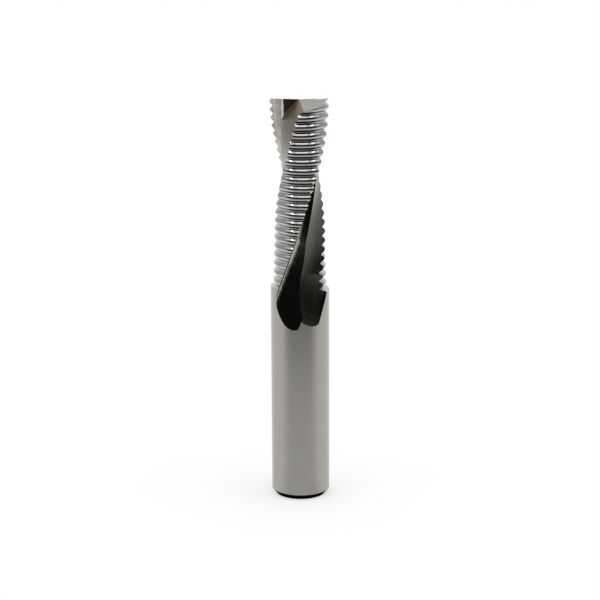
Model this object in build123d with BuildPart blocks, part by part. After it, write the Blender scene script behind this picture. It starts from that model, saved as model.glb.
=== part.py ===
from build123d import *

import os
from math import ceil, cos, pi, radians, sin, sqrt, tan

# Two-flute spiral roughing cutter, ground from one solid carbide rod.
# Millimetres, +Z up. The origin is the centre of the shank's end face, and the
# cutting end is on top. Angles are in degrees, counterclockwise seen from above,
# which is also the way that the tool turns. The first tooth's corner is on +X.

# Overall sizes
overall_length = 70.0
cutting_length = 32.0
cutting_diameter = 10.0
shank_diameter = 10.0
shank_chamfer = 0.75

# Teeth
tooth_count = 2
helix_angle = 20.0
land_relief_angle = 7.8

# Ribs on each land, which break the chips. Each tooth's ribs stand a share
# of the pitch lower than those of the tooth before it.
rib_pitch = 1.5
rib_crest_width = 0.17
rib_flank_angle = 45.0
first_crest_rise = 0.35
rib_reach_ahead = 25.0
rib_reach_behind = 105.0

# Grinding wheel that leaves the cutting face and the flute's floor
face_wheel_radius = 40.0
face_wheel_width = 6.8
face_rake_angle = 7.0
face_corner_bevel = 0.3
core_radius = 2.4
core_turn = -10.0
face_liftoff_above_shank = 8.0

# Grinding wheel that clears the back of the flute, up to the next tooth's heel
heel_wheel_radius = 16.0
heel_wheel_width = 6.8
heel_floor_radius = 2.9
heel_turn = 52.0
heel_near_side = -1.83
heel_liftoff_above_shank = 2.0

# Cutting end
dish_angle = 2.0
end_relief_angle = 16.0
gash_slope = 45.0
gash_opening_angle = 108.0
gash_corner_radius = 0.25

# What the cutting part has over its finished size until its lands are ground
grinding_stock = 0.1

# Room that the cutting shapes have beyond the metal, and the distance between
# the sections that a flute is lofted through
clearance = 0.6
section_spacing = 1.5

cutting_radius = cutting_diameter / 2
shank_radius = shank_diameter / 2
shank_top = overall_length - cutting_length
widest_radius = max(cutting_radius, shank_radius)
helix_lead = pi * cutting_diameter / tan(radians(helix_angle))
tooth_spacing = 360 / tooth_count


def edge_angle(z):
    """Where the first tooth's cutting edge is at a height."""
    return 360 * (z - overall_length) / helix_lead


def heading(angle):
    """Level direction at an angle."""
    return Vector(1, 0, 0).rotate(Axis.Z, angle)


# The rod, with its shank ground to size
with BuildPart() as rod:
    Cylinder(shank_radius, shank_top, align=(Align.CENTER, Align.CENTER, Align.MIN))
    chamfer(rod.faces().sort_by(Axis.Z)[0].edges(), shank_chamfer)
    with Locations((0, 0, shank_top)):
        Cylinder(cutting_radius + grinding_stock, cutting_length, align=(Align.CENTER, Align.CENTER, Align.MIN))


# The land of a tooth is part of a circle of the tool's own radius, moved off the
# axis so that it falls away behind the cutting edge. Ribs are turned round it.
relief_centre = Vector(
    cutting_radius * (1 - cos(radians(land_relief_angle))),
    cutting_radius * sin(radians(land_relief_angle)),
)
flank_run = rib_pitch / 2 - rib_crest_width
rib_depth = flank_run * tan(radians(rib_flank_angle))
outside_reach = widest_radius + relief_centre.length + clearance - cutting_radius


def ring_round_land(*corners):
    """Part of a ring round the first tooth's land. A corner is (reach out from the land, height)."""
    start = heading(-rib_reach_behind)
    with BuildPart() as ring:
        with BuildSketch(Plane(relief_centre, x_dir=start, z_dir=start.cross(Vector(0, 0, 1)))):
            with BuildLine():
                Polyline(*[(cutting_radius + reach, height) for reach, height in corners], close=True)
            make_face()
        revolve(axis=Axis(relief_centre, (0, 0, 1)), revolution_arc=rib_reach_behind + rib_reach_ahead)
    return ring.part


def on_tooth(tooth, z):
    """Place that turns what is made for the first tooth at height zero onto a tooth at a height."""
    return Location((0, 0, z), (0, 0, edge_angle(z) + tooth * tooth_spacing))


# What is ground away between two ribs, and over the crest of one
groove_spread = outside_reach / tan(radians(rib_flank_angle))
groove = ring_round_land(
    (-rib_depth, -rib_crest_width / 2),
    (-rib_depth, rib_crest_width / 2),
    (outside_reach, rib_crest_width / 2 + flank_run + groove_spread),
    (outside_reach, -rib_crest_width / 2 - flank_run - groove_spread),
)
over_crest = ring_round_land(
    (0, -rib_crest_width),
    (0, rib_crest_width),
    (outside_reach, rib_crest_width),
    (outside_reach, -rib_crest_width),
)


def flute_heights(liftoff, end):
    """Heights of a flute's sections, from above the cutting end to where the wheel is out."""
    top = overall_length + clearance
    spiral_steps = ceil((top - liftoff) / section_spacing)
    runout_steps = ceil((liftoff - end) / section_spacing)
    spiral = [top + (liftoff - top) * i / spiral_steps for i in range(spiral_steps)]
    runout = [liftoff + (end - liftoff) * i / runout_steps for i in range(runout_steps + 1)]
    return spiral + runout


def flute_cutter(wheel_radius, wheel_width, floor_radius, floor_turn, near_side, lean, bevel, liftoff):
    """What one wheel sweeps: it follows the helix, then goes straight on as its rim lifts out.

    The wheel is set along the helix, so its sections across the tool move sideways
    and tilt as it lifts. In a section, x points out through the flute's floor.
    """
    set_angle = radians(helix_angle)
    rise_to_clear = widest_radius + clearance - floor_radius
    travel_to_clear = sqrt(2 * wheel_radius * rise_to_clear - rise_to_clear**2) / cos(set_angle)
    outside = 2 * widest_radius

    def floor_at(side, travel):
        along_rim = cos(set_angle) * travel - sin(set_angle) * side
        return floor_radius + wheel_radius - sqrt(wheel_radius**2 - along_rim**2)

    with BuildPart() as cutter:
        for z in flute_heights(liftoff, liftoff - travel_to_clear):
            travel = max(liftoff - z, 0)
            near = near_side - travel * tan(set_angle)
            far = near + wheel_width
            floor = floor_at(near, travel)
            inner_corner = (floor, near + (floor - floor_radius) * tan(radians(lean)))
            outer_corner = (outside, near + (outside - floor_radius) * tan(radians(lean)))
            out = heading(edge_angle(z + travel) + floor_turn)
            with BuildSketch(Plane((0, 0, z), x_dir=out, z_dir=(0, 0, 1))) as section:
                with BuildLine():
                    Polyline(
                        inner_corner, (floor_at(far, travel), far), (outside, far), outer_corner, close=True
                    )
                make_face()
                if bevel:
                    chamfer(section.vertices().sort_by_distance(inner_corner)[0], bevel)
        loft()
    return cutter.part


# The cutting face leans back from the wheel's own side by its rake, and goes
# through the cutting edge
face_lean = face_rake_angle - core_turn
edge_out = cutting_radius * cos(radians(core_turn))
edge_side = -cutting_radius * sin(radians(core_turn))
face_near_side = edge_side - (edge_out - core_radius) * tan(radians(face_lean))
face_cutter = flute_cutter(
    face_wheel_radius, face_wheel_width, core_radius, core_turn,
    face_near_side, face_lean, face_corner_bevel,
    shank_top + face_liftoff_above_shank,
)
heel_cutter = flute_cutter(
    heel_wheel_radius, heel_wheel_width, heel_floor_radius, heel_turn,
    heel_near_side, 0, 0, shank_top + heel_liftoff_above_shank,
)

# What is ground off the cutting end behind the first tooth's end edge, which
# runs from the corner to the axis and dips slightly
corner_point = Vector(cutting_radius, 0, overall_length)
end_edge = Vector(1, 0, 0).rotate(Axis.Y, -dish_angle)
end_reach = 2 * cutting_diameter
with BuildPart() as end_relief:
    with BuildSketch(Plane(corner_point, x_dir=(0, 1, 0), z_dir=end_edge)):
        with BuildLine():
            Polyline(
                (0, 0),
                (-end_reach, -end_reach * tan(radians(end_relief_angle))),
                (-end_reach, end_reach),
                (0, end_reach),
                close=True,
            )
        make_face()
    extrude(amount=end_reach, both=True)

# The gash in front of the first tooth's end edge: a notch that starts at the axis
# and runs down and out into the flute
centre_point = Vector(0, 0, overall_length - cutting_radius * tan(radians(dish_angle)))
gash_line = Vector(1, 0, 0).rotate(Axis.Y, gash_slope)
with BuildPart() as gash:
    with BuildSketch(Plane(centre_point, x_dir=(0, 1, 0), z_dir=gash_line)) as gash_section:
        with BuildLine():
            Polyline(
                (0, 0),
                (0, end_reach),
                (end_reach, end_reach),
                (
                    end_reach * sin(radians(gash_opening_angle)),
                    end_reach * cos(radians(gash_opening_angle)),
                ),
                close=True,
            )
        make_face()
        fillet(gash_section.vertices().sort_by_distance((0, 0))[0], gash_corner_radius)
    extrude(amount=end_reach, both=True)


def crest_heights(tooth):
    """Heights of a tooth's rib crests, from the cutting end down to the shank."""
    top_crest = overall_length + first_crest_rise - rib_pitch * tooth / tooth_count
    rib_count = ceil((top_crest - shank_top) / rib_pitch)
    return [top_crest - rib_pitch * rib for rib in range(rib_count)]


teeth = range(tooth_count)
with BuildPart() as roughing_cutter:
    add(rod.part)
    for flute in (face_cutter, heel_cutter):
        with PolarLocations(0, tooth_count):
            add(flute, mode=Mode.SUBTRACT)
    with Locations([on_tooth(tooth, z + rib_pitch / 2) for tooth in teeth for z in crest_heights(tooth)]):
        add(groove, mode=Mode.SUBTRACT)
    with Locations([on_tooth(tooth, z) for tooth in teeth for z in crest_heights(tooth)[:-1]]):
        add(over_crest, mode=Mode.SUBTRACT)
    # The lowest rib stays full down to the shank, and from there it slopes out
    # to the shank's own surface
    for tooth in teeth:
        rise = crest_heights(tooth)[-1] + rib_crest_width - shank_top
        over_lowest = ring_round_land(
            (0, 0), (0, rise), (outside_reach, rise), (outside_reach, -outside_reach)
        )
        with Locations(on_tooth(tooth, shank_top)):
            add(over_lowest, mode=Mode.SUBTRACT)
    for end_cutter in (end_relief.part, gash.part):
        with PolarLocations(0, tooth_count):
            add(end_cutter, mode=Mode.SUBTRACT)

roughing_cutter.part.label = "roughing_cutter"
os.makedirs("parts", exist_ok=True)
export_step(roughing_cutter.part, "parts/roughing_cutter.step")
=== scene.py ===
from math import ceil, cos, floor, pi, radians, sin, sqrt, tan

import bmesh
import bpy
from mathutils import Matrix, Vector


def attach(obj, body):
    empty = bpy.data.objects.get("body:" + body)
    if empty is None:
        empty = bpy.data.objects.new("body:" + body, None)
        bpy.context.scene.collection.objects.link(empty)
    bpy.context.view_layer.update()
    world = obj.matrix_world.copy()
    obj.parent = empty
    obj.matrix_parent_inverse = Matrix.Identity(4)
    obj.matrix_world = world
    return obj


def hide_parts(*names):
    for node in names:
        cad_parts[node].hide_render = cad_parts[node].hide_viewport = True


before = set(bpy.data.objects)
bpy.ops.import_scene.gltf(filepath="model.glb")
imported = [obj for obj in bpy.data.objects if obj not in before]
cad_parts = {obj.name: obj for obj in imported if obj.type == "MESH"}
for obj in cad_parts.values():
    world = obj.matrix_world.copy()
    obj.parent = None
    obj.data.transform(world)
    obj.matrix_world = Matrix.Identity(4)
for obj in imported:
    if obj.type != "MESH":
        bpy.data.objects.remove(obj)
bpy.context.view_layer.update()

# Two-flute spiral roughing cutter, ground from one solid carbide rod. It is modelled
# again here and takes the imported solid's place. It has the solid's sizes, and its
# detail is finer: the ribs are round and a little less deep, one more groove runs
# down to a shoulder above the shank, the foot of the cutting face is round, and the
# bevel at the shank's end is slightly taller.
# Sizes of the cutter are in millimetres, and its meshes are in metres. Angles are in
# degrees, counterclockwise seen from above, and the first tooth's corner is on +X.
MM = 0.001

# Overall sizes
OVERALL_LENGTH = 70.0
CUTTING_LENGTH = 32.0
RADIUS = 5.0
SHANK_BEVEL_WIDTH = 0.75
SHANK_BEVEL_HEIGHT = 0.95

# Teeth
TOOTH_COUNT = 2
HELIX_ANGLE = 20.0
LAND_RELIEF_ANGLE = 7.8

# Ribs on each land, the slope of the root between two of them, and the slope of the
# shoulder below the lowest groove
RIB_PITCH = 1.5
RIB_DEPTH = 0.45
RIB_FLANK_ANGLE = 45.0
RIB_UPPER_ROUNDING = 0.45
RIB_LOWER_ROUNDING = 0.6
ROOT_SLOPE = 8.0
SHOULDER_SLOPE = 30.0
FIRST_CREST_RISE = 0.26
RIB_REACH_AHEAD = 25.0
RIB_REACH_BEHIND = 105.0

# Both grinding wheels
WHEEL_WIDTH = 6.8

# Grinding wheel that leaves the cutting face and the flute's floor
FACE_WHEEL_RADIUS = 40.0
FACE_RAKE_ANGLE = 7.0
FACE_CORNER_RADIUS = 0.7
CORE_RADIUS = 2.4
CORE_TURN = -10.0
FACE_LIFTOFF_ABOVE_SHANK = 8.0

# Grinding wheel that clears the back of the flute, up to the next tooth's heel
HEEL_WHEEL_RADIUS = 16.0
HEEL_FLOOR_RADIUS = 2.9
HEEL_TURN = 52.0
HEEL_NEAR_SIDE = -1.83
HEEL_LIFTOFF_ABOVE_SHANK = 2.0

# Cutting end
DISH_ANGLE = 2.0
END_RELIEF_ANGLE = 16.0
GASH_SLOPE = 45.0
GASH_OPENING_ANGLE = 108.0
GASH_CORNER_RADIUS = 0.25

# What the cutting part has over its finished size until its lands are ground, the
# room that the cutting shapes have beyond the metal, how far they reach past a face
# that they would otherwise only touch, and the angle from which an edge is sharp
GRINDING_STOCK = 0.15
CLEARANCE = 0.6
OVERLAP = 0.002
SHARP_ANGLE = 17.0

# How finely the shapes are divided
ROD_SEGMENTS = 360
RIB_ARC_SEGMENTS = 8
LAND_SEGMENTS = 64
FLUTE_STEP = 0.3
FLUTE_SEGMENTS = 16
CORNER_SEGMENTS = 6

SHANK_TOP = OVERALL_LENGTH - CUTTING_LENGTH
HELIX_LEAD = 2 * pi * RADIUS / tan(radians(HELIX_ANGLE))
TOOTH_SPACING = 360 / TOOTH_COUNT
LAND_CUTTER_RADIUS = RADIUS + 3 * CLEARANCE
END_CUTTER_REACH = 4 * RADIUS

# How the metal varies: patches per millimetre, the grinding lines' share of the
# variation, how far the roughness goes down and up from its middle value, and the
# values between which nearly all of a noise lies
PATCH_SCALE = 0.5
PATCH_DETAIL = 2
LINE_DETAIL = 3
LINE_SHARE = 0.6
ROUGHNESS_SPREAD = 0.85
NOISE_LOW = 0.3
NOISE_HIGH = 0.7

# The finishes that the grinding steps leave. The flute's floor, the heel, the gash's wall
# and the bevel also carry painted shade: their colours are darker than the metal's, for
# the shade that falls there and the dark that they mirror. Their numbers are explained
# at ground_carbide().
FINISHES = {
    "shank": {
        "dark": (0.36, 0.345, 0.315), "light": (0.41, 0.395, 0.36), "roughness": 0.25,
        "line_scale": (5, 5, 0.04), "line_depth": 0.002,
    },
    "land": {
        "dark": (0.44, 0.415, 0.41), "light": (0.54, 0.53, 0.51), "roughness": 0.09,
        "line_scale": (0.3, 0.3, 6), "line_depth": 0.0001,
    },
    "rake": {
        "dark": (0.26, 0.25, 0.225), "light": (0.76, 0.735, 0.685), "roughness": 0.17,
        "line_scale": (4, 4, 0.08), "line_depth": 0.0015, "twisted": True,
    },
    # Painted shade: the flute's floor is far darker than the metal, for the shade deep in the flute and
    # the dark that it mirrors.
    "flute": {
        "dark": (0.085, 0.084, 0.077), "light": (0.13, 0.128, 0.117), "roughness": 0.18,
        "line_scale": (7, 7, 0.1), "line_depth": 0.0008, "twisted": True,
    },
    # Painted shade: the heel is darker than the metal, for the shade deep in the flute, and darker
    # still lower down.
    "heel": {
        "dark": (0.23, 0.218, 0.185), "light": (0.33, 0.313, 0.27), "roughness": 0.3,
        "line_scale": (5, 5, 0.1), "line_depth": 0.0010, "twisted": True, "painted_shade": (0.45, 46, 62),
    },
    "end": {
        "dark": (0.31, 0.30, 0.27), "light": (0.39, 0.375, 0.34), "roughness": 0.2,
        "line_scale": (0.3, 9, 0.3), "line_depth": 0.0006,
    },
    "gash": {
        "dark": (0.34, 0.28, 0.175), "light": (0.42, 0.35, 0.225), "roughness": 0.42,
        "line_scale": (6, 0.5, 0.5), "line_depth": 0.0001,
    },
    # Painted shade: the wall under the end edge has the gash's tone, darkened for the shade and the
    # dark that it mirrors.
    "gash_wall_painted_shade": {
        "dark": (0.20, 0.17, 0.135), "light": (0.28, 0.24, 0.19), "roughness": 0.3,
        "line_scale": (0.5, 0.5, 6), "line_depth": 0.0001,
    },
    # Painted shade: the bevel is nearly black, for the tool's own contact shadow at its foot.
    "bevel": {
        "dark": (0.010, 0.010, 0.009), "light": (0.018, 0.018, 0.016), "roughness": 0.4,
        "line_scale": (5, 5, 0.04), "line_depth": 0.0010,
    },
}

# Camera: where the photograph was taken from, 0.4 m in front of the cutter's axis
# and looking down. Lengths are in millimetres, and the focal length is in pixels of
# a picture that is 600 wide.
CAMERA_DISTANCE = 400.0
CAMERA_HEIGHT = 148.9
CAMERA_PITCH = 15.92
CAMERA_ROLL = -0.25
CAMERA_CLIP_START = 10.0
FOCAL_PIXELS = 2422
PHOTO_WIDTH = 600

# Floor, in metres: where it is seen, the share of pure white in it grows from near
# the cutter, where its shadow is, to far away
FLOOR_WIDTH = 6.0
FLOOR_COLOUR = (0.9, 0.9, 0.9, 1)
FLOOR_WHITE_NEAR = 0.55
FLOOR_WHITE_FAR = 0.95
SHADOW_START = 0.006
SHADOW_END = 0.06

# Lamps, the dark bars of their frames and dark flags, in metres, and the angle of
# the cutter's front
LAMP_HEIGHT = 0.5
BAR_HEIGHT = 0.49
BAR_SHADE = 0.05
FLAG_SEGMENTS = 72
FRONT = -90

WHITE = (1, 1, 1, 1)
BLACK = (0, 0, 0, 1)


def polar(radius, angle, z=0.0):
    return Vector((radius * cos(radians(angle)), radius * sin(radians(angle)), z))


def edge_angle(z):
    """Where the first tooth's cutting edge is at a height."""
    return 360 * (z - OVERALL_LENGTH) / HELIX_LEAD


def between(start, end, count):
    """Evenly spaced values from start to end, both included."""
    return [start + (end - start) * i / count for i in range(count + 1)]


def subdivided(a, b, count):
    """Points on a line from a to b, without b."""
    return [a.lerp(b, i / count) for i in range(count)]


def rounded(before, corner, after, radius, count):
    """Points of the arc that rounds a corner between two lines."""
    to_before = (before - corner).normalized()
    to_after = (after - corner).normalized()
    half = to_before.angle(to_after) / 2
    centre = corner + (to_before + to_after).normalized() * (radius / sin(half))
    start = corner + to_before * (radius / tan(half)) - centre
    sweep = (pi - 2 * half) * (1 if to_before.cross(to_after) > 0 else -1)
    return [centre + Matrix.Rotation(-sweep * i / count, 2) @ start for i in range(count + 1)]


def placed(name, data):
    """New object in the scene."""
    thing = bpy.data.objects.new(name, data)
    bpy.context.scene.collection.objects.link(thing)
    return thing


def outward(mesh):
    """Turns a closed mesh's faces so that they all look out."""
    shape = bmesh.new()
    shape.from_mesh(mesh)
    bmesh.ops.recalc_face_normals(shape, faces=shape.faces)
    shape.to_mesh(mesh)
    shape.free()


def lofted(name, loops, finish, special=None):
    """Closed mesh through loops of equally many points, with a flat face on each end.

    The sides that special(k, i) picks get the second finish, where k counts loops
    and i the points in one.
    """
    size = len(loops[0])
    vertices = [point * MM for loop in loops for point in loop]
    faces = [tuple(range(size))]
    picked = [False]
    for k in range(len(loops) - 1):
        for i in range(size):
            j = (i + 1) % size
            faces.append((k * size + i, (k + 1) * size + i, (k + 1) * size + j, k * size + j))
            picked.append(bool(special and special(k, i)))
    last = (len(loops) - 1) * size
    faces.append(tuple(last + i for i in reversed(range(size))))
    picked.append(False)
    mesh = bpy.data.meshes.new(name)
    mesh.from_pydata(vertices, [], faces)
    for material in finish:
        mesh.materials.append(material)
    mesh.polygons.foreach_set("material_index", [int(pick) for pick in picked])
    outward(mesh)
    return placed(name, mesh)


def make_rod():
    """The blank: the shank with its bevel, and above it a cutting part that is still oversize."""
    outline = [
        (RADIUS - SHANK_BEVEL_WIDTH, 0),
        (RADIUS, SHANK_BEVEL_HEIGHT),
        (RADIUS, SHANK_TOP),
        (RADIUS + GRINDING_STOCK, SHANK_TOP),
        (RADIUS + GRINDING_STOCK, OVERALL_LENGTH),
    ]
    angles = [360 * i / ROD_SEGMENTS for i in range(ROD_SEGMENTS)]
    sections = [[polar(radius, angle, z) for angle in reversed(angles)] for radius, z in outline]
    # The bevel's finish is painted shade, nearly black.
    return lofted("rod", sections, (finishes["shank"], finishes["bevel"]), lambda k, i: k == 0)


def rib_side(rounding):
    """One side of a rib from its crest to its foot, as (distance from the crest, depth below it)."""
    flank = radians(RIB_FLANK_ANGLE)
    crest = [
        (rounding * sin(turn), rounding * (1 - cos(turn)))
        for turn in between(0, flank, RIB_ARC_SEGMENTS)
    ]
    away, depth = crest[-1]
    return crest + [(away + (RIB_DEPTH - depth) / tan(flank), RIB_DEPTH)]


def land_rows(tooth):
    """Heights and depths of a tooth's land, from its lowest groove up past the cutting end.

    The root between two ribs gets slightly less deep up to the foot of the upper one.
    """
    upper_side = rib_side(RIB_UPPER_ROUNDING)
    lower_side = rib_side(RIB_LOWER_ROUNDING)
    foot, depth = lower_side[-1]
    root_width = RIB_PITCH - upper_side[-1][0] - foot
    lower_side[-1] = (foot, depth - root_width * tan(radians(ROOT_SLOPE)))
    top_crest = OVERALL_LENGTH + FIRST_CREST_RISE - RIB_PITCH * tooth / TOOTH_COUNT
    crest = top_crest - RIB_PITCH * floor((top_crest - SHANK_TOP) / RIB_PITCH)
    rows = []
    while crest < OVERALL_LENGTH + CLEARANCE:
        rows += [(crest - away, depth) for away, depth in reversed(lower_side[1:])]
        rows += [(crest + away, depth) for away, depth in upper_side]
        crest += RIB_PITCH
    return rows


def land_section(tooth, z, reach):
    """Section of what is round a tooth's land at a height, from a radius about its own centre."""
    relief = radians(LAND_RELIEF_ANGLE)
    edge = edge_angle(z) + tooth * TOOTH_SPACING
    turn = Matrix.Rotation(radians(edge), 3, "Z")
    centre = turn @ Vector((RADIUS * (1 - cos(relief)), RADIUS * sin(relief), 0))
    angles = between(edge - RIB_REACH_BEHIND, edge + RIB_REACH_AHEAD, LAND_SEGMENTS)
    inside = [centre + polar(reach, angle, z) for angle in angles]
    outside = [centre + polar(LAND_CUTTER_RADIUS, angle, z) for angle in reversed(angles)]
    return inside + outside


def make_land_cutter(tooth):
    """What is ground away round one tooth's land and between its ribs.

    Below the lowest groove a shoulder slopes out to the shank's own surface.
    """
    rows = land_rows(tooth)
    lowest, depth = rows[0]
    outermost = LAND_CUTTER_RADIUS - OVERLAP
    shoulder = (outermost - RADIUS + depth) * tan(radians(SHOULDER_SLOPE))
    sections = [land_section(tooth, lowest - shoulder, outermost)]
    sections += [land_section(tooth, z, RADIUS - depth) for z, depth in rows]
    return lofted(f"land_cutter_{tooth}", sections, (finishes["land"],))


def flute_heights(liftoff, end):
    """Heights of a flute's sections, from above the cutting end to where the wheel is out."""
    top = OVERALL_LENGTH + CLEARANCE
    spiral = between(top, liftoff, ceil((top - liftoff) / FLUTE_STEP))
    runout = between(liftoff, end, ceil((liftoff - end) / FLUTE_STEP))
    return spiral + runout[1:]


def make_flute_cutter(
    name, tooth, wheel_radius, floor_radius, floor_turn, near_side, lean, corner, liftoff, finish
):
    """What one wheel sweeps: it follows the helix, then goes straight on as its rim lifts out.

    In a section, x points out through the flute's floor. The first finish goes on what
    the wheel's rim leaves, and the second on what its side and its corner leave.
    """
    set_angle = radians(HELIX_ANGLE)
    rise_to_clear = RADIUS + CLEARANCE - floor_radius
    travel_to_clear = sqrt(2 * wheel_radius * rise_to_clear - rise_to_clear**2) / cos(set_angle)
    outside = 2 * RADIUS

    def floor_at(side, travel):
        along_rim = cos(set_angle) * travel - sin(set_angle) * side
        return floor_radius + wheel_radius - sqrt(wheel_radius**2 - along_rim**2)

    def floor_points(start, far, travel):
        sides = between(start, far, FLUTE_SEGMENTS)
        return [Vector((floor_at(side, travel), side)) for side in sides]

    loops = []
    for z in flute_heights(liftoff, liftoff - travel_to_clear):
        travel = max(liftoff - z, 0)
        near = near_side - travel * tan(set_angle)
        far = near + WHEEL_WIDTH
        rim = floor_at(near, travel)
        inner = Vector((rim, near + (rim - floor_radius) * tan(radians(lean))))
        outer = Vector((outside, near + (outside - floor_radius) * tan(radians(lean))))
        bottom = floor_points(inner.y, far, travel)
        if corner:
            arc = rounded(outer, inner, bottom[-1], corner, CORNER_SEGMENTS)
            bottom = arc[:-1] + floor_points(arc[-1].y, far, travel)
        section = subdivided(outer, bottom[0], FLUTE_SEGMENTS) + bottom
        section.append(Vector((outside, far)))
        angle = edge_angle(z + travel) + floor_turn + tooth * TOOTH_SPACING
        turn = Matrix.Rotation(radians(angle), 4, "Z")
        loops.append([turn @ Vector((point.x, point.y, z)) for point in section])
    wall = FLUTE_SEGMENTS + (CORNER_SEGMENTS if corner else 0)
    return lofted(f"{name}_{tooth}", loops, finish, lambda k, i: i < wall)


def make_face_cutter(tooth):
    """Leaves the cutting face, which goes through the cutting edge, and the flute's floor."""
    edge_out = RADIUS * cos(radians(CORE_TURN))
    edge_side = -RADIUS * sin(radians(CORE_TURN))
    lean = FACE_RAKE_ANGLE - CORE_TURN
    return make_flute_cutter(
        "face_cutter",
        tooth,
        wheel_radius=FACE_WHEEL_RADIUS,
        floor_radius=CORE_RADIUS,
        floor_turn=CORE_TURN,
        near_side=edge_side - (edge_out - CORE_RADIUS) * tan(radians(lean)),
        lean=lean,
        corner=FACE_CORNER_RADIUS,
        liftoff=SHANK_TOP + FACE_LIFTOFF_ABOVE_SHANK,
        # The flute finish on the flute's floor is painted shade.
        finish=(finishes["flute"], finishes["rake"]),
    )


def make_heel_cutter(tooth):
    """Clears the back of the flute, up to the next tooth's heel."""
    return make_flute_cutter(
        "heel_cutter",
        tooth,
        wheel_radius=HEEL_WHEEL_RADIUS,
        floor_radius=HEEL_FLOOR_RADIUS,
        floor_turn=HEEL_TURN,
        near_side=HEEL_NEAR_SIDE,
        lean=0,
        corner=0,
        liftoff=SHANK_TOP + HEEL_LIFTOFF_ABOVE_SHANK,
        # The heel's finish carries painted shade.
        finish=(finishes["heel"], finishes["heel"]),
    )


def make_prism(name, origin, x_axis, z_axis, outline, reach, finish, special=None):
    """Flat outline in a plane through origin, pushed out both ways along the plane's normal."""
    y_axis = z_axis.cross(x_axis)
    loops = [
        [origin + x_axis * x + y_axis * y + z_axis * depth for x, y in outline]
        for depth in (reach, -reach)
    ]
    return lofted(name, loops, finish, special)


def on_tooth(tooth, vector):
    """What is given for the first tooth, turned onto a tooth."""
    return Matrix.Rotation(radians(tooth * TOOTH_SPACING), 3, "Z") @ vector


def outward_line(fall):
    """Direction from the axis to the first tooth's corner that falls by an angle."""
    return Matrix.Rotation(radians(fall), 3, "Y") @ Vector((1, 0, 0))


def make_end_relief(tooth):
    """What is ground off the cutting end behind a tooth's end edge, which dips to the axis."""
    reach = END_CUTTER_REACH
    fall = reach * tan(radians(END_RELIEF_ANGLE))
    return make_prism(
        f"end_relief_{tooth}",
        origin=on_tooth(tooth, Vector((RADIUS, 0, OVERALL_LENGTH))),
        x_axis=on_tooth(tooth, Vector((0, 1, 0))),
        z_axis=on_tooth(tooth, outward_line(-DISH_ANGLE)),
        outline=[(OVERLAP, 0), (-reach, -fall), (-reach, reach), (OVERLAP, reach)],
        reach=reach,
        finish=(finishes["end"],),
    )


def make_gash(tooth):
    """Notch in front of a tooth's end edge, from the axis down and out into the flute.

    Its sides up to the middle of its round corner are the wall under the end edge.
    """
    reach = END_CUTTER_REACH
    opening = radians(GASH_OPENING_ANGLE)
    far_wall = Vector((reach * sin(opening), reach * cos(opening)))
    arc = rounded(Vector((0, reach)), Vector((0, 0)), far_wall, GASH_CORNER_RADIUS, CORNER_SEGMENTS)
    wall = 2 + CORNER_SEGMENTS / 2
    return make_prism(
        f"gash_{tooth}",
        origin=Vector((0, 0, OVERALL_LENGTH - RADIUS * tan(radians(DISH_ANGLE)))),
        x_axis=on_tooth(tooth, Vector((0, 1, 0))),
        z_axis=on_tooth(tooth, outward_line(GASH_SLOPE)),
        outline=[(reach, reach), (0, reach)] + [(p.x, p.y) for p in arc] + [(far_wall.x, far_wall.y)],
        reach=reach,
        # The wall under the end edge gets a finish with painted shade.
        finish=(finishes["gash"], finishes["gash_wall_painted_shade"]),
        special=lambda k, i: i < wall,
    )


def cut(body, cutters):
    """Takes the cutters out of the body. What each one leaves has the cutter's finish."""
    for cutter in cutters:
        modifier = body.modifiers.new(cutter.name, "BOOLEAN")
        modifier.operation = "DIFFERENCE"
        modifier.solver = "MANIFOLD"
        modifier.material_mode = "TRANSFER"
        modifier.object = cutter
    depsgraph = bpy.context.evaluated_depsgraph_get()
    mesh = bpy.data.meshes.new_from_object(body.evaluated_get(depsgraph))
    body.modifiers.clear()
    body.data = mesh
    for cutter in cutters:
        bpy.data.objects.remove(cutter)


def make_cutter():
    makers = (make_land_cutter, make_face_cutter, make_heel_cutter, make_end_relief, make_gash)
    cutters = [make(tooth) for tooth in range(TOOTH_COUNT) for make in makers]
    body = make_rod()
    cut(body, cutters)
    body.name = "cutter"
    body.data.polygons.foreach_set("use_smooth", [True] * len(body.data.polygons))
    body.data.set_sharp_from_angle(angle=radians(SHARP_ANGLE))
    return body


def add_node(tree, kind, inputs=None, **settings):
    """New node. Each of its inputs is given a value, or the output that feeds it."""
    node = tree.nodes.new(kind)
    for setting, value in settings.items():
        setattr(node, setting, value)
    for socket, value in (inputs or {}).items():
        if isinstance(value, bpy.types.NodeSocket):
            tree.links.new(value, node.inputs[socket])
        else:
            node.inputs[socket].default_value = value
    return node


def computed(tree, operation, first, second=0.0):
    """Number worked out from one or two others."""
    return add_node(tree, "ShaderNodeMath", {0: first, 1: second}, operation=operation).outputs["Value"]


def scaled(tree, vector, scale):
    return add_node(
        tree, "ShaderNodeVectorMath", {0: vector, "Scale": scale}, operation="SCALE"
    ).outputs["Vector"]


def length(tree, vector):
    return add_node(tree, "ShaderNodeVectorMath", {0: vector}, operation="LENGTH").outputs["Value"]


def object_place(tree):
    """Place on the object, in metres."""
    return add_node(tree, "ShaderNodeTexCoord").outputs["Object"]


def along_axes(tree, vector):
    """The outputs X, Y and Z of a vector."""
    return add_node(tree, "ShaderNodeSeparateXYZ", {0: vector}).outputs


def noise(tree, place, scale, detail):
    return add_node(
        tree, "ShaderNodeTexNoise", {"Vector": place, "Scale": scale, "Detail": detail}
    ).outputs["Fac"]


def spread(tree, value, low, high):
    """Number from low to high that follows a noise."""
    return add_node(
        tree, "ShaderNodeMapRange",
        {"Value": value, "From Min": NOISE_LOW, "From Max": NOISE_HIGH, "To Min": low, "To Max": high},
    ).outputs["Result"]


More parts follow.
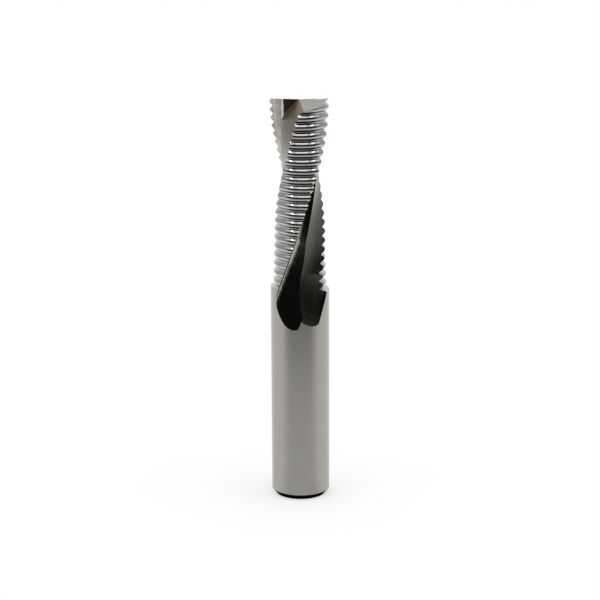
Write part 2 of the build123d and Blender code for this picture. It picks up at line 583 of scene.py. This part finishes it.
def eased(tree, value, start, end, low, high):
    """The number low up to the start, and from there smoothly on to high at the end."""
    return add_node(
        tree, "ShaderNodeMapRange",
        {"Value": value, "From Min": start, "From Max": end, "To Min": low, "To Max": high},
        interpolation_type="SMOOTHSTEP",
    ).outputs["Result"]


def untwisted(tree, place):
    """Place turned back with its height, so that what is straight there follows the helix."""
    angle = computed(tree, "MULTIPLY", along_axes(tree, place)["Z"], -2 * pi / HELIX_LEAD)
    return add_node(
        tree, "ShaderNodeVectorRotate", {"Vector": place, "Angle": angle}, rotation_type="Z_AXIS"
    ).outputs["Vector"]


def ground_carbide(name, dark, light, roughness, line_scale, line_depth, twisted=False, painted_shade=None):
    """Ground carbide with fine grinding lines, whose colour goes from dark to light.

    line_scale is how many lines there are in a millimetre along X, Y and Z. Lines
    run along the direction where there are few. Twisted lines follow the helix.
    line_depth is in millimetres. The last argument, (share, start, end), is a painted
    shade lower down: the metal has that share of its colour up to the height start and
    all of it from the height end, both in millimetres.
    """
    material = bpy.data.materials.new(name)
    material.use_nodes = True
    tree = material.node_tree
    surface = tree.nodes["Principled BSDF"]
    surface.inputs["Metallic"].default_value = 1

    place = scaled(tree, object_place(tree), 1 / MM)
    grain = untwisted(tree, place) if twisted else place
    stretched = add_node(
        tree, "ShaderNodeVectorMath", {0: grain, 1: line_scale}, operation="MULTIPLY"
    ).outputs["Vector"]
    lines = noise(tree, stretched, 1, LINE_DETAIL)
    patches = noise(tree, grain, PATCH_SCALE, PATCH_DETAIL)
    both = add_node(
        tree, "ShaderNodeMix", {"Factor": LINE_SHARE, "A": patches, "B": lines}
    ).outputs["Result"]
    colour = add_node(
        tree, "ShaderNodeMix",
        {"Factor": spread(tree, both, 0, 1), "A": (*dark, 1), "B": (*light, 1)},
        data_type="RGBA",
    ).outputs["Result"]
    # Painted shade: the colour is darker lower down.
    if painted_shade:
        share, start, end = painted_shade
        brightness = eased(tree, along_axes(tree, place)["Z"], start, end, share, 1)
        colour = scaled(tree, colour, brightness)
    tree.links.new(colour, surface.inputs["Base Color"])
    tree.links.new(
        spread(tree, both, roughness * ROUGHNESS_SPREAD, roughness / ROUGHNESS_SPREAD),
        surface.inputs["Roughness"],
    )
    bump = add_node(
        tree, "ShaderNodeBump", {"Strength": 1, "Distance": line_depth * MM, "Height": lines}
    )
    tree.links.new(bump.outputs["Normal"], surface.inputs["Normal"])
    return material


def make_finishes():
    """All finishes. The bevel's bright rim is taken away as painted shade, so it stays dark where it is
    seen at a low angle.
    """
    made = {name: ground_carbide(f"carbide_{name}", **look) for name, look in FINISHES.items()}
    made["bevel"].node_tree.nodes["Principled BSDF"].inputs["Specular Tint"].default_value = BLACK
    return made


def add_camera():
    data = bpy.data.cameras.new("camera")
    data.lens = data.sensor_width * FOCAL_PIXELS / PHOTO_WIDTH
    data.clip_start = CAMERA_CLIP_START * MM
    level = Vector((1, 0, 0))
    forward = Vector((0, cos(radians(CAMERA_PITCH)), -sin(radians(CAMERA_PITCH))))
    upright = level.cross(forward)
    right = cos(radians(CAMERA_ROLL)) * level + sin(radians(CAMERA_ROLL)) * upright
    axes = Matrix((right, right.cross(forward), -forward)).transposed().to_4x4()
    camera = placed("camera", data)
    camera.matrix_world = Matrix.Translation(Vector((0, -CAMERA_DISTANCE, CAMERA_HEIGHT)) * MM) @ axes
    bpy.context.scene.camera = camera


def seen(tree):
    """1 for rays that show the background, straight or mirrored, and 0 for rays that light things."""
    path = add_node(tree, "ShaderNodeLightPath").outputs
    mirrored = computed(tree, "MAXIMUM", path["Is Glossy Ray"], path["Is Transmission Ray"])
    return computed(tree, "MAXIMUM", path["Is Camera Ray"], mirrored)


def empty_material(name):
    """Material without nodes, and its tree."""
    material = bpy.data.materials.new(name)
    material.use_nodes = True
    material.node_tree.nodes.clear()
    return material, material.node_tree


def add_floor():
    """Paper that shows the cutter's shadow, and looks white further out."""
    half = FLOOR_WIDTH / 2
    corners = [(-half, -half, 0), (half, -half, 0), (half, half, 0), (-half, half, 0)]
    mesh = bpy.data.meshes.new("floor")
    mesh.from_pydata(corners, [], [(0, 1, 2, 3)])
    material, tree = empty_material("floor")
    paper = add_node(tree, "ShaderNodeBsdfDiffuse", {"Color": FLOOR_COLOUR}).outputs["BSDF"]
    white = add_node(tree, "ShaderNodeEmission", {"Color": WHITE, "Strength": 1}).outputs["Emission"]
    away = length(tree, object_place(tree))
    share = eased(tree, away, SHADOW_START, SHADOW_END, FLOOR_WHITE_NEAR, FLOOR_WHITE_FAR)
    share = computed(tree, "MULTIPLY", seen(tree), share)
    mix = add_node(tree, "ShaderNodeMixShader", {"Fac": share, 1: paper, 2: white}).outputs["Shader"]
    add_node(tree, "ShaderNodeOutputMaterial", {"Surface": mix})
    mesh.materials.append(material)
    placed("floor", mesh)


def add_world():
    world = bpy.data.worlds.new("studio")
    bpy.context.scene.world = world
    world.use_nodes = True
    world.node_tree.nodes["Background"].inputs["Color"].default_value = WHITE


def glowing(name):
    """Material that only glows, and the node that gives its glow."""
    material, tree = empty_material(name)
    glow = add_node(tree, "ShaderNodeEmission")
    add_node(tree, "ShaderNodeOutputMaterial", {"Surface": glow.outputs["Emission"]})
    return material, glow


def add_card(name, points, faces, material):
    """Sheet that only shows as a reflection in the cutter's metal."""
    mesh = bpy.data.meshes.new(name)
    mesh.from_pydata(points, [], faces)
    mesh.materials.append(material)
    card = placed(name, mesh)
    card.visible_camera = False
    card.visible_diffuse = False
    card.visible_shadow = False


def flag_cover(tree, place, front_end, side, back, rise):
    """How much of a flag's dark there is at a place, from 0 to 1."""
    axes = along_axes(tree, place)
    sideways = computed(tree, "ABSOLUTE", axes["X"])
    frontward = computed(tree, "MULTIPLY", axes["Y"], -1)
    turned = computed(tree, "ARCTAN2", sideways, frontward)
    risen = computed(tree, "DIVIDE", axes["Z"], length(tree, place))
    to_side = eased(tree, turned, radians(front_end), radians(side[1]), 1, side[0])
    to_back = eased(tree, turned, radians(back[0]), radians(back[1]), 1, 0)
    to_top = eased(tree, risen, sin(radians(rise[0])), sin(radians(rise[1])), 1, 0)
    around = computed(tree, "MULTIPLY", to_side, to_back)
    return computed(tree, "MULTIPLY", around, to_top)


def add_flag(name, edges, front_end, side, back, rise, shades, shade_reach):
    """Dark card bent round the cutter.

    edges are its lower and its upper edge, as (radius, height). It is dark up to the
    angle front_end from the front, fades to the share and angle in side, and then
    between the angles in back to the studio's white. It also fades to white between
    the angles in rise, seen from the cutter's foot. shades are its brightness up to
    the first and from the second distance in shade_reach.
    """
    angles = between(FRONT - back[1], FRONT + back[1], FLAG_SEGMENTS)
    points = [polar(radius, angle, z) for radius, z in edges for angle in angles]
    size = len(angles)
    faces = [(i, i + 1, size + i + 1, size + i) for i in range(size - 1)]
    material, glow = glowing(name)
    tree = material.node_tree
    place = object_place(tree)
    cover = flag_cover(tree, place, front_end, side, back, rise)
    shade = eased(tree, length(tree, place), *shade_reach, *shades)
    strength = add_node(
        tree, "ShaderNodeMapRange", {"Value": cover, "To Min": 1, "To Max": shade}
    ).outputs["Result"]
    tree.links.new(strength, glow.inputs["Strength"])
    add_card(name, points, faces, material)


def add_bar(name, place, size):
    """Dark bar of a lamp's frame, just below the lamps."""
    x, y = place
    half_x, half_y = size[0] / 2, size[1] / 2
    corners = [(-half_x, -half_y), (half_x, -half_y), (half_x, half_y), (-half_x, half_y)]
    points = [(x + dx, y + dy, BAR_HEIGHT) for dx, dy in corners]
    material, glow = glowing(name)
    glow.inputs["Strength"].default_value = BAR_SHADE
    add_card(name, points, [(0, 1, 2, 3)], material)


def add_lamp(name, place, size, radiance):
    """Soft box that looks straight down from the height of the lamps."""
    data = bpy.data.lights.new(name, "AREA")
    data.shape = "RECTANGLE"
    data.size, data.size_y = size
    data.energy = radiance * pi * data.size * data.size_y
    lamp = placed(name, data)
    lamp.location = (*place, LAMP_HEIGHT)


def add_studio():
    """Soft boxes over the cutter, with a dark bar beside two of them, and the flags round it.

    The camera looks down, so upright metal mirrors the table's flag, which is lighter
    near the cutter. Metal that faces up a little mirrors the room's flag.
    """
    add_lamp("ceiling_box", place=(0.0535, -0.06), size=(0.337, 0.40), radiance=0.5)
    add_lamp("left_lamp", place=(-0.235, -0.12), size=(0.05, 0.2), radiance=4)
    add_bar("left_bar", place=(-0.191, -0.1), size=(0.028, 0.4))
    add_lamp("right_lamp", place=(0.205, -0.06), size=(0.068, 0.2), radiance=4)
    add_bar("right_bar", place=(0.152, -0.1), size=(0.028, 0.4))
    add_flag(
        "room_flag",
        edges=((0.25, 0), (0.25, 0.40)),
        front_end=54,
        side=(0.5, 88),
        back=(115, 165),
        rise=(50, 58),
        shades=(0.025, 0.025),
        shade_reach=(0, 1),
    )
    add_flag(
        "table_flag",
        edges=((0.0055, 0.0003), (0.25, 0.0003)),
        front_end=34,
        side=(0, 82),
        back=(82, 83),
        rise=(40, 58),
        shades=(0.72, 0.12),
        shade_reach=(0.055, 0.165),
    )


finishes = make_finishes()
cutter = make_cutter()
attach(cutter, "root")
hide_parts("roughing_cutter")

add_camera()
add_floor()
add_world()
add_studio()

bpy.context.scene.view_settings.view_transform = "Standard"
